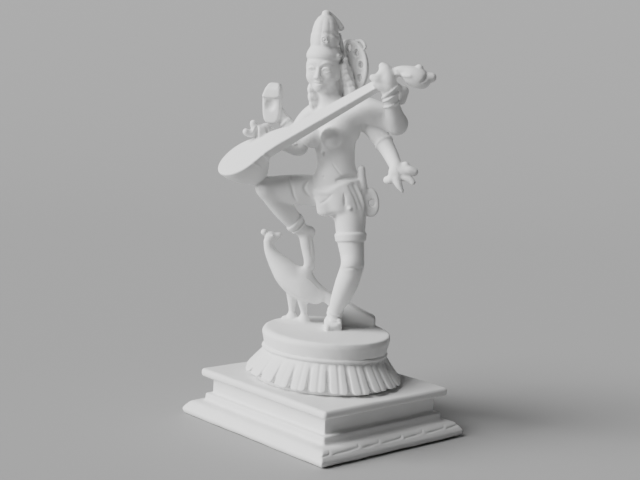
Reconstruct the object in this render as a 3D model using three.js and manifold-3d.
// A dancing goddess with four arms who plays a long lute, one foot on a lotus pedestal and
// a peacock beside her, cast in one with the pedestal and stood on a stepped plinth.
// Millimetres, +Z up, the front toward -Y and her left hand toward +X. The origin is the
// middle of the plinth's underside.

import * as THREE from "three";
import { mergeVertices } from "three/addons/utils/BufferGeometryUtils.js";
import Module from "manifold-3d";

const wasm = await Module();
wasm.setup();

// Plinth: a rectangular block with a wide foot, a small step, a waist and a top plate.
// Heights are from the ground, and each inset is from the foot's outermost edge.
const plinthWidth = 131;
const plinthDepth = 117;
const plinthHeight = 30;
const rimHeight = 4.8;
const footHeight = 9.7;
const footTopInset = 5.7;
const stepInset = 10.4;
const stepHeight = 14.9;
const waistInset = 13.8;
const plateInset = 8;
const plateThickness = 5.4;
const plateEdgeWidth = 5;
const plinthEdgeRadius = 2.4;

// Lotus pedestal: an oval drum on a skirt of petals.
const pedestalHeight = 30;
const drumWidth = 83;
const drumDepth = 73;
const drumHeight = 13;
const drumInset = 2.1;
const lipHeight = 6;
const lipStep = 0.7;
const ringHeight = 2.4;
const ringInset = 0.9;
const skirtFlare = 8.2;
const petalCount = 23;
const petalThickness = 2;
const petalGap = 2.2;
const petalToFloor = 1.8;
const petalCorner = 1.6;
const petalUndercut = 1.5;
const petalDraft = 0.3;
const firstPetalAngle = -48;
const petalUnevenness = 2.6;

// Corners of the ring, the drum's lip and the plinth's step are rounded by about this much.
const castRounding = 0.6;

// Figure: from the pedestal's top to the tip of the crown.
const figureHeight = 191;

// Halo behind the head, and the lute's neck.
const haloRadius = 18;
const haloThickness = 3;
const haloRimWidth = 2.2;
const haloRimRise = 0.5;
const haloHoleCount = 10;
const haloHoleDiameter = 3.6;
const haloHoleToRim = 1.4;
const luteNeckWidth = 11.4;
const luteNeckDepth = 6.6;
const luteNeckTaper = 0.6;
const luteBowlLength = 33;
const luteBowlWidth = 23;
const luteBowlDepth = 22;
const luteRootWidth = 16.6;
const luteRootDepth = 7.9;

const whitePlastic = new THREE.MeshStandardMaterial({ color: 0xe4e4e2, roughness: 0.6, metalness: 0 });

const radians = THREE.MathUtils.degToRad;

// A closed three.js mesh as a solid that can be joined and cut.
function solid(geometry) {
  const bare = geometry.clone();
  bare.deleteAttribute("normal");
  bare.deleteAttribute("uv");
  const welded = mergeVertices(bare, 1e-4);
  return new wasm.Manifold(new wasm.Mesh({
    numProp: 3,
    vertProperties: new Float32Array(welded.attributes.position.array),
    triVerts: Uint32Array.from(welded.index.array),
  }));
}

function joined(geometries) {
  return geometries.map(solid).reduce((whole, next) => whole.add(next));
}

function namedMesh(name, shape) {
  const { vertProperties, triVerts } = shape.getMesh();
  const geometry = new THREE.BufferGeometry();
  geometry.setAttribute("position", new THREE.BufferAttribute(vertProperties, 3));
  geometry.setIndex(new THREE.BufferAttribute(triVerts, 1));
  geometry.computeVertexNormals();
  const mesh = new THREE.Mesh(geometry, whitePlastic);
  mesh.name = name;
  return mesh;
}

function movedVertices(geometry, move) {
  const position = geometry.attributes.position;
  const point = new THREE.Vector3();
  for (let index = 0; index < position.count; index += 1) {
    point.fromBufferAttribute(position, index);
    move(point);
    position.setXYZ(index, point.x, point.y, point.z);
  }
  return geometry;
}

// A limb is a skin carried along a smooth path, with rounded ends. Each station is
// [x, y, z, half width, half depth]; the width lies along `across`, and a station with
// no half depth is round.
function limb(stations, options = {}) {
  const { sides = 8, rows = stations.length - 1, caps = 1, across = [1, 0, 0] } = options;
  const path = new THREE.CatmullRomCurve3(stations.map(([x, y, z]) => new THREE.Vector3(x, y, z)));
  const girth = new THREE.CatmullRomCurve3(
    stations.map(([, , , width, depth = width]) => new THREE.Vector3(width, depth, 0)),
  );
  let side = new THREE.Vector3(...across);
  const rings = [];
  for (let row = 0; row <= rows; row += 1) {
    const forward = path.getTangent(row / rows);
    side = side.clone().addScaledVector(forward, -side.dot(forward)).normalize();
    const up = side.clone().cross(forward);
    const centre = path.getPoint(row / rows);
    rings.push({ centre, size: girth.getPoint(row / rows), side, forward, up });
  }
  return movedVertices(new THREE.CapsuleGeometry(1, rows, caps, sides, rows), (point) => {
    const along = THREE.MathUtils.clamp(point.y + rows / 2, 0, rows);
    const beyond = point.y + rows / 2 - along;
    const { centre, size, side: width, forward, up } = rings[Math.round(along)];
    const { x, z } = point;
    point.copy(centre)
      .addScaledVector(width, x * size.x)
      .addScaledVector(up, z * size.y)
      .addScaledVector(forward, beyond * Math.min(size.x, size.y));
  });
}

// An egg shape with its own half sizes, turned about the upright axis.
function ball(centre, halfSizes, { sides = 8, rings = 6, turn = 0 } = {}) {
  return new THREE.SphereGeometry(1, sides, rings)
    .rotateX(Math.PI / 2)
    .scale(...halfSizes)
    .rotateZ(radians(turn))
    .translate(...centre);
}

// Plinth. A four-sided lathe gives the moulding its mitred corners; each ring is then
// pushed out to the plinth's plan, so the moulding stands in equally on all four sides.
function makePlinth() {
  const roundedEdge = (inset, height) => [-50, -25, 0, 25, 50].map((degrees) => [
    inset + plinthEdgeRadius * (1 - Math.cos(radians(degrees))),
    height + plinthEdgeRadius * Math.sin(radians(degrees)),
  ]);
  const plateBottom = plinthHeight - plateThickness;
  const profile = [
    [plinthEdgeRadius, 0],
    ...roundedEdge(0, rimHeight),
    [footTopInset, footHeight],
    [stepInset - castRounding, footHeight + castRounding * 3],
    [stepInset, stepHeight - castRounding * 3],
    [waistInset, stepHeight],
    [waistInset, plateBottom - castRounding * 2],
    [plateInset + plinthEdgeRadius, plateBottom],
    ...roundedEdge(plateInset, plateBottom + plateThickness / 2),
    [plateInset + plateEdgeWidth, plinthHeight],
  ];
  const reach = plinthWidth;
  const outline = [[reach, 0], ...profile, [reach, plinthHeight]];
  const points = outline.map(([inset, height]) => new THREE.Vector2(reach - inset, height));
  const lathe = new THREE.LatheGeometry(points, 4, Math.PI / 4).rotateX(Math.PI / 2);
  return movedVertices(lathe, (point) => {
    const inset = reach - Math.hypot(point.x, point.y);
    const onAxis = inset > reach - 1e-3;
    if (!onAxis) {
      point.x = Math.sign(point.x) * (plinthWidth / 2 - inset);
      point.y = Math.sign(point.y) * (plinthDepth / 2 - inset);
    }
  });
}

// Lotus pedestal: a turned drum with a ring under it, on a skirt of petals. Both are drawn
// on a round plan and then narrowed to an oval.
function makePedestal() {
  const radius = drumWidth / 2;
  const ringTop = pedestalHeight - drumHeight;
  const profile = [
    [0, ringTop - ringHeight],
    [radius - ringInset - castRounding, ringTop - ringHeight],
    [radius - ringInset, ringTop - ringHeight + castRounding],
    [radius - ringInset, ringTop],
    [radius - drumInset, ringTop + castRounding],
    [radius - lipStep, pedestalHeight - lipHeight],
    [radius, pedestalHeight - lipHeight / 2],
    [radius - castRounding, pedestalHeight - castRounding * 2],
    [radius - castRounding * 3, pedestalHeight],
    [0, pedestalHeight],
  ].map(([r, z]) => new THREE.Vector2(r, z));
  const drum = new THREE.LatheGeometry(profile, 32).rotateX(Math.PI / 2);
  return [drum, makePetalSkirt()].map((part) => part.scale(1, drumDepth / drumWidth, 1));
}

// The skirt is one tube of columns: each petal has a sunk and a raised column on either
// side of it, so the gaps between petals are steep-sided grooves. The petals hang a little
// above the floor, with their lower corners drawn in, and the slope behind them goes on down.
function makePetalSkirt() {
  const headZ = pedestalHeight - drumHeight - ringHeight / 2;
  const headRadius = drumWidth / 2 - ringInset - petalThickness;
  const footRadius = drumWidth / 2 + skirtFlare - petalThickness;
  const pitch = (2 * Math.PI) / petalCount;
  const rows = [
    { z: headZ, raise: petalThickness, drawIn: 0 },
    { z: petalToFloor + petalCorner, raise: petalThickness, drawIn: 0 },
    { z: petalToFloor, raise: petalThickness, drawIn: petalCorner },
    { z: petalToFloor - petalDraft, raise: 0, drawIn: petalCorner },
    { z: 0, raise: -petalUndercut, drawIn: 0 },
  ];
  const tube = new THREE.CylinderGeometry(1, 1, rows.length - 1, petalCount * 4, rows.length - 1);
  return movedVertices(tube, (point) => {
    const row = rows[Math.round((rows.length - 1) / 2 - point.y)];
    const radius = THREE.MathUtils.mapLinear(row.z, headZ, 0, headRadius, footRadius);
    if (Math.hypot(point.x, point.z) < 0.5) {
      point.set(0, 0, row.z);
      return;
    }
    const column = Math.round((Math.atan2(point.x, point.z) / pitch) * 4 + petalCount * 4);
    const raised = column % 4 === 1 || column % 4 === 2;
    const side = column % 4 < 2 ? -1 : 1;
    const halfPetal = pitch / 2 - petalGap / 2 / radius;
    const middle = radians(firstPetalAngle) + Math.floor(column / 4) * pitch;
    const centre = middle - radians(petalUnevenness) * Math.cos(3 * (middle + Math.PI / 4));
    const inward = raised ? (row.drawIn + petalDraft) / radius : 0;
    const angle = centre + side * (halfPetal - inward);
    const reach = radius + (raised ? row.raise : Math.min(row.raise, 0));
    point.set(Math.cos(angle) * reach, Math.sin(angle) * reach, row.z);
  });
}

// The figure's pose and carving are drawn in units of a 191st of its own height, from the
// pedestal's top. The halo and the lute take their own sizes, and only their places so.
const unit = figureHeight / 191;
const torsoAcross = [Math.cos(radians(15)), Math.sin(radians(15)), 0];

function makeBody() {
  return [
    limb([
      [3.5, 3.5, 79, 12, 10.5], [1.5, 2, 87, 15.4, 11.6], [0.5, 0.8, 94, 13.8, 10.4],
      [0.5, 0.5, 101, 12.4, 9.4],
      [0, 0, 108, 12.8, 9.8], [-0.8, -0.8, 116, 14.2, 10.6], [-0.4, -0.6, 124, 15.8, 10.8],
      [-0.4, -0.4, 130, 14.4, 9],
    ], { sides: 12, rows: 9, across: torsoAcross }),
    ball([5.5, -9, 117.5], [6.6, 6.6, 6.6]),
    ball([-8, -12.6, 116], [6.6, 6.6, 6.6]),
    limb([[-1.8, -0.6, 131, 7.4], [-3.4, -3, 138.5, 6], [-4.8, -5.4, 147, 6.4]]),
  ];
}

function makeLegs() {
  return [
    limb([
      [7.5, 5.5, 82, 10.5], [10.5, 5.5, 70, 9.8], [12.5, 5, 56.5, 8.4], [15, 4.5, 47.5, 7.4],
      [16, 4.5, 41, 7],
      [12.5, 3.5, 32, 6.4], [7, 4, 20.5, 5.4], [0.6, 6, 10.5, 4.5], [-3, 8.2, 5, 4.6],
    ], { rows: 10 }),
    limb([
      [-5.6, 9, 3, 4.2], [-0.4, 7.4, 3.2, 4.6], [5.2, 5.2, 2.6, 4.2], [10, 3.4, 2, 2.6],
    ], { across: [0.3, 1, 0] }),
    limb([
      [3, 2, 83, 11], [-8.5, -5, 83.5, 10.4], [-15, -13.5, 84, 9.6], [-21, -23, 85, 7.9],
      [-26, -31.2, 84.6, 6.6],
    ], { caps: 2, across: [0, 0, 1] }),
    limb([
      [-26.3, -31.6, 83.6, 6.2], [-25.8, -25.5, 77.5, 6.5], [-25.3, -19, 71.5, 6.4],
      [-24, -11.5, 63.5, 5.3],
      [-20.5, -3, 56, 4.4],
    ], { caps: 2 }),
    limb([[-18, 0.8, 58, 3.4], [-19, -0.6, 52, 4.6], [-19, 0, 44.5, 3.8], [-18, 0, 37.5, 2.6]]),
    limb([[13.4, 5.2, 57.4, 9.2], [13.8, 5, 53, 8.8]], { rows: 1 }),
    limb([[-23.2, -8.6, 61.4, 6], [-21.4, -5.4, 58.4, 5.6]], { rows: 1 }),
    limb([[1.4, 5.8, 11.6, 5.3], [0, 6.4, 9.4, 5.3]], { rows: 1 }),
  ];
}

function fingers(stations) {
  return stations.map((finger) => limb(finger, { sides: 5, rows: 1 }));
}

function makeArms() {
  const up = [0, 0, 1];
  const ring = { rows: 1 };
  return [
    limb([
      [9, 1, 131, 7.6], [17, 5, 133, 8], [24.5, 11, 132, 7.6], [33, 15.5, 129, 7.2],
    ], { caps: 2, across: up }),
    limb([
      [35, 15.2, 127.6, 6.8], [37.5, 9.5, 133, 5.8], [39.4, 4.6, 140.2, 4.8], [40, 2.4, 146, 5],
    ], { caps: 2 }),
    limb([[39.4, 4.6, 138.4, 5.7], [39.6, 3.6, 142, 5.6]], ring),
    limb([[40, 2.4, 146, 5], [40.4, -0.2, 152.6, 6.4], [38.8, -2, 158.4, 4.2], [36.8, -2.6, 162, 1.6]]),
    ...fingers([[[41, -3, 150.6, 3], [36, -8, 154, 2.2]], [[39.6, -4, 147, 2.8], [34.6, -8, 150, 2]]]),
    limb([
      [4.5, 7.5, 127, 7], [13.5, 10.5, 125, 7], [25, 9.5, 118.5, 6.2], [33.5, 8.5, 112.5, 5.4],
      [44, 6.5, 104, 4],
    ], { across: up }),
    limb([[29, 9, 116, 6.6], [31.5, 8.8, 114, 6.4]], { ...ring, across: up }),
    limb([[41, 7, 106.4, 5.1], [43, 6.8, 104.8, 4.9]], { ...ring, across: up }),
    ball([47, 6.5, 99.5], [4.8, 4.4, 4.6]),
    ...fingers([
      [[45, 6, 97, 2.6], [40, 5, 94.6, 2.6]], [[49, 9, 101, 2.8], [53, 12, 102, 2.8]],
      [[50, 7, 98, 2.4], [53.4, 9.6, 94, 2]], [[48, 6, 96, 2.4], [50.4, 7.4, 89.4, 0.8]],
    ]),
    limb([
      [-12, -3, 127.6, 6.8], [-16.6, -6.2, 127.2, 6.8], [-19.6, -9.6, 119.4, 6.6],
      [-20.8, -12.6, 113.4, 6.6],
      [-21.4, -14.6, 111, 6.6],
    ], { caps: 2 }),
    limb([
      [-21.6, -14.8, 111, 6.2], [-22.4, -24.8, 113, 5], [-24.2, -32.6, 115.4, 4], [-26, -37, 117, 3.6],
    ]),
    ball([-27, -38, 117.6], [3.6, 4.6, 4]),
    ...fingers([
      [[-28, -40, 117, 2.4], [-29.8, -45.2, 118.4, 2.1]],
      [[-28, -39, 120, 2.4], [-29.6, -40.4, 124, 2.2]],
      [[-26, -36, 119.6, 2.4], [-25.6, -34.4, 123.4, 2.4]],
      [[-26, -35, 118, 2.4], [-24.2, -31.2, 121, 2.2]],
    ]),
    limb([
      [-10, 0, 127, 6.4], [-21, -1.4, 125, 6.2], [-29, -2, 119.4, 5.8], [-34, -1.5, 115.4, 5.4],
      [-37.5, -4.5, 120.5, 4.4], [-41.2, -9, 126, 3.8],
    ]),
    limb([[-39.4, -6.8, 123, 4.6], [-40.6, -8.2, 125, 4.4]], ring),
  ];
}

// The book is a folded bundle of palm leaves: a hollowed slab under a thicker folded end.
function makeBook() {
  const across = [0.67, 0.74, 0];
  return [
    limb([
      [-43.4, -13.6, 125, 5.8, 3], [-43.4, -13.8, 133, 6.8, 3], [-43.4, -13.8, 139, 6.6, 3],
    ], { rows: 2, across }),
    limb([[-43, -14.6, 138, 6.6, 3.8], [-43, -13.4, 143, 5.6, 3.4]], { rows: 1, across }),
  ];
}

// Head. The face is plain: an egg for the skull, a fuller jaw and a straight nose.
function makeHead() {
  const facing = 32;
  const forward = [Math.sin(radians(facing)), -Math.cos(radians(facing))];
  const [x, y] = [-5.8, -7.8];
  const ahead = (distance, ...rest) => [x + forward[0] * distance, y + forward[1] * distance, ...rest];
  return [
    ball([x, y, 158.4], [10, 10.8, 11.4], { sides: 12, rings: 8, turn: facing }),
    limb([ahead(4, 148.6, 5.4, 5.4), ahead(1.8, 152.4, 8.2, 8.2), ahead(0.4, 157, 9.4, 9.4)], {
      across: [Math.cos(radians(facing)), Math.sin(radians(facing)), 0],
    }),
    ...fingers([[ahead(9.6, 159.4, 1), ahead(11, 154, 1.6)]]),
    ...makeCrown(x, y),
    ...makeHair(x, y, facing),
  ];
}

// Crown: a band round the brow and a tall cone of stacked hair with a knob on top.
function makeCrown(x, y) {
  const profile = [
    [0, 163.4], [10.6, 163.4], [11.4, 164.8], [10.8, 168.4], [9, 169.6], [8.8, 176], [8, 180.6],
    [6.4, 184.6],
    [4.4, 187], [2.9, 188], [2.8, 189.6], [1.6, 190.8], [0, 191],
  ].map(([r, z]) => new THREE.Vector2(r, z));
  return [
    new THREE.LatheGeometry(profile, 12).rotateX(Math.PI / 2).translate(x, y, 0),
    limb([[-4.6, -1, 185, 1.6], [-3.2, 1.6, 181, 2]], { sides: 6, rows: 1 }),
  ];
}

// Hair: a fall behind each ear to the shoulder, and one down the nape.
function makeHair(x, y, facing) {
  const across = [Math.cos(radians(facing)), Math.sin(radians(facing)), 0];
  return [
    limb([
      [3, -1, 163, 3, 4], [4.4, 2, 156, 3.4, 5], [5.4, 4, 148, 4, 5], [6, 5, 139, 4, 4],
    ], { across }),
    limb([[-14.4, -10, 158, 1.8, 3.4], [-13, -10.6, 148, 2.4, 3.4], [-13, -9, 138, 3, 3]], { across }),
    limb([[-4, 0, 160, 8, 5], [-2.6, 3, 150, 9, 5], [-1, 4.4, 139, 8, 4]], { across }),
  ];
}

// Halo: a disc with a raised rim and a ring of round holes, behind the head.
function makeHalo() {
  const half = haloThickness / 2;
  const face = half - haloRimRise;
  const inner = haloRadius - haloRimWidth;
  const profile = [
    [0, -face], [inner, -face], [inner, -half], [haloRadius, -half],
    [haloRadius, half], [inner, half], [inner, face], [0, face],
  ].map(([r, z]) => new THREE.Vector2(r, z));
  const boreRadius = haloHoleDiameter / 2;
  const holeCircle = inner - boreRadius - haloHoleToRim;
  let halo = solid(new THREE.LatheGeometry(profile, 24));
  for (let index = 0; index < haloHoleCount; index += 1) {
    const angle = radians(86) + (index / haloHoleCount) * 2 * Math.PI;
    const bore = new THREE.CylinderGeometry(boreRadius, boreRadius, haloThickness * 2, 6);
    bore.translate(Math.cos(angle) * holeCircle, 0, -Math.sin(angle) * holeCircle);
    halo = halo.subtract(solid(bore));
  }
  return halo.translate([-2.8 * unit, 8.8 * unit, 157.6 * unit]);
}

// Lute: a flat face from the tip of the bowl to the end of the neck, with a deep round
// bowl and a squared neck under it. Along the lute, x runs from the bowl's tip to the
// neck's end.
function makeLute() {
  const tip = new THREE.Vector3(-38.4, -56.4, 94.8).multiplyScalar(unit);
  const end = new THREE.Vector3(40.4, -1.6, 154.4).multiplyScalar(unit);
  const length = tip.distanceTo(end);
  const along = end.clone().sub(tip).normalize();
  const face = new THREE.Vector3(0.04, -0.755, 0.66);
  face.addScaledVector(along, -face.dot(along)).normalize();
  const place = new THREE.Matrix4().makeBasis(along, face.clone().cross(along), face).setPosition(tip);
  const neckStart = luteBowlLength * 0.7;
  const neck = new THREE.BoxGeometry(length - neckStart, 1, 1);
  neck.translate((length + neckStart) / 2, 0, -0.5);
  movedVertices(neck, (point) => {
    const thin = THREE.MathUtils.mapLinear(point.x, neckStart, length, 1, luteNeckTaper);
    point.set(point.x, point.y * luteNeckWidth * thin, point.z * luteNeckDepth * thin);
  });
  const quarter = [0, 18, 36, 54, 72, 90].map(radians);
  const halfRound = quarter.map((angle) => new THREE.Vector2(Math.cos(angle), Math.sin(angle)));
  const halfDrop = (middle, halfLength, halfWidth, depth) => {
    const drop = new THREE.LatheGeometry([new THREE.Vector2(0, 0), ...halfRound], 16);
    return drop.rotateX(-Math.PI / 2).scale(halfLength, halfWidth, depth).translate(middle, 0, 0);
  };
  const bowl = halfDrop(luteBowlLength / 2, luteBowlLength / 2, luteBowlWidth / 2, luteBowlDepth);
  const root = halfDrop(luteBowlLength * 0.8, luteBowlLength * 0.7, luteRootWidth / 2, luteRootDepth);
  return [neck, bowl, root].map((part) => part.applyMatrix4(place));
}

// The lute's end: a carved head that curves out beyond her hand, and a small second gourd
// behind her wrist.
function makeLuteHead() {
  return [
    limb([
      [39.6, -1.6, 151.6, 3.6], [44.6, 3, 156.2, 3.2], [48.5, 7.5, 157.6, 4], [52, 11, 156.4, 5],
      [54.6, 14, 154.2, 4],
    ]),
    limb([[53, 13, 155, 3.4], [58.6, 18.6, 155.4, 2.8]], { rows: 1 }),
    ball([36.5, 13.5, 144.5], [6.2, 6.2, 6.2]),
  ];
}

// Sash: a roll round the hips, a short tail in front, and a knot and loop at her left hip.
function makeSash() {
  return [
    limb([
      [-9, -6, 87, 4, 3], [0, -8.6, 83, 4.4, 3], [9, -5.4, 84, 4.4, 3], [15, 4, 88, 4, 3],
    ], { across: [0, 0, 1] }),
    limb([
      [4, -8.6, 82, 4.6, 3], [3.6, -9.4, 76, 4.4, 3], [5.4, -7.6, 72.5, 3.6, 3],
    ], { across: torsoAcross }),
    limb([[15.2, 7.6, 99.4, 2.4], [15.6, 8, 93.8, 2.3], [16, 8.4, 88, 3.4]]),
    limb([
      [17.4, 10.2, 85, 2.4], [20, 12.8, 84.4, 2.5], [22, 15.2, 80, 2.2], [21.2, 14.4, 74.8, 3],
      [18.6, 11.6, 74.4, 2.8], [16.8, 10.8, 79.6, 2.2],
    ]),
  ];
}

function makePeacock() {
  const up = [0, 0, 1];
  return [
    limb([
      [-37.6, -16, 51.6, 3], [-37.2, -15.6, 46.4, 3.4], [-35.6, -14, 41.8, 4.4], [-33.2, -11.4, 37, 6],
      [-29.8, -8.2, 31.6, 7.8], [-25.5, -4, 26.4, 9.2], [-19.5, 1, 22, 8.4], [-14.5, 6, 18.5, 6],
    ]),
    ball([-37.2, -15.6, 52.6], [3.1, 3.1, 3.1]),
    limb([[-36, -14.4, 52.6, 2.6], [-32.8, -10.8, 54, 0.9]], { rows: 1 }),
    limb([[-38, -16.6, 53, 1.5], [-40.2, -18.8, 55, 1.9]], { sides: 6, rows: 1 }),
    limb([[-29.4, -3.5, 22, 4.2], [-30.6, -1.5, 10.5, 2.8], [-31.6, -1, 2, 2.8]], { rows: 3 }),
    limb([[-22, -2.5, 22, 4.6], [-22.4, -0.5, 11.5, 3.1], [-23.5, 1, 2, 3]], { rows: 3 }),
    ball([-33, -2.4, 0.6], [5.6, 4.6, 2.2], { rings: 4 }),
    ball([-24, -0.4, 0.6], [5.2, 5.8, 2.4], { rings: 4 }),
    limb([
      [-19.6, 0.8, 26, 5.4], [-14.4, 6.4, 21.4, 5.2, 4.6], [-8.8, 12.6, 15.8, 4.8, 4],
      [-2.8, 18.4, 10.6, 4.8, 3.8],
      [3.2, 24.2, 6.8, 4.6, 3.6], [8, 28.2, 4.4, 4.4, 3.4],
    ], { across: up }),
  ];
}

function makeFigure() {
  const drawn = [
    ...makeBody(), ...makeLegs(), ...makeArms(), ...makeBook(),
    ...makeHead(), ...makeLuteHead(), ...makeSash(), ...makePeacock(),
  ];
  const goddess = joined(drawn).scale(unit).add(joined(makeLute())).add(makeHalo());
  const whole = joined(makePedestal()).add(goddess.translate([0, 0, pedestalHeight]));
  return whole.translate([0, 0, plinthHeight]);
}

const saraswati = new THREE.Group();
saraswati.name = "saraswati_figure";
saraswati.add(namedMesh("plinth", solid(makePlinth())));
saraswati.add(namedMesh("figure", makeFigure()));

export default saraswati;
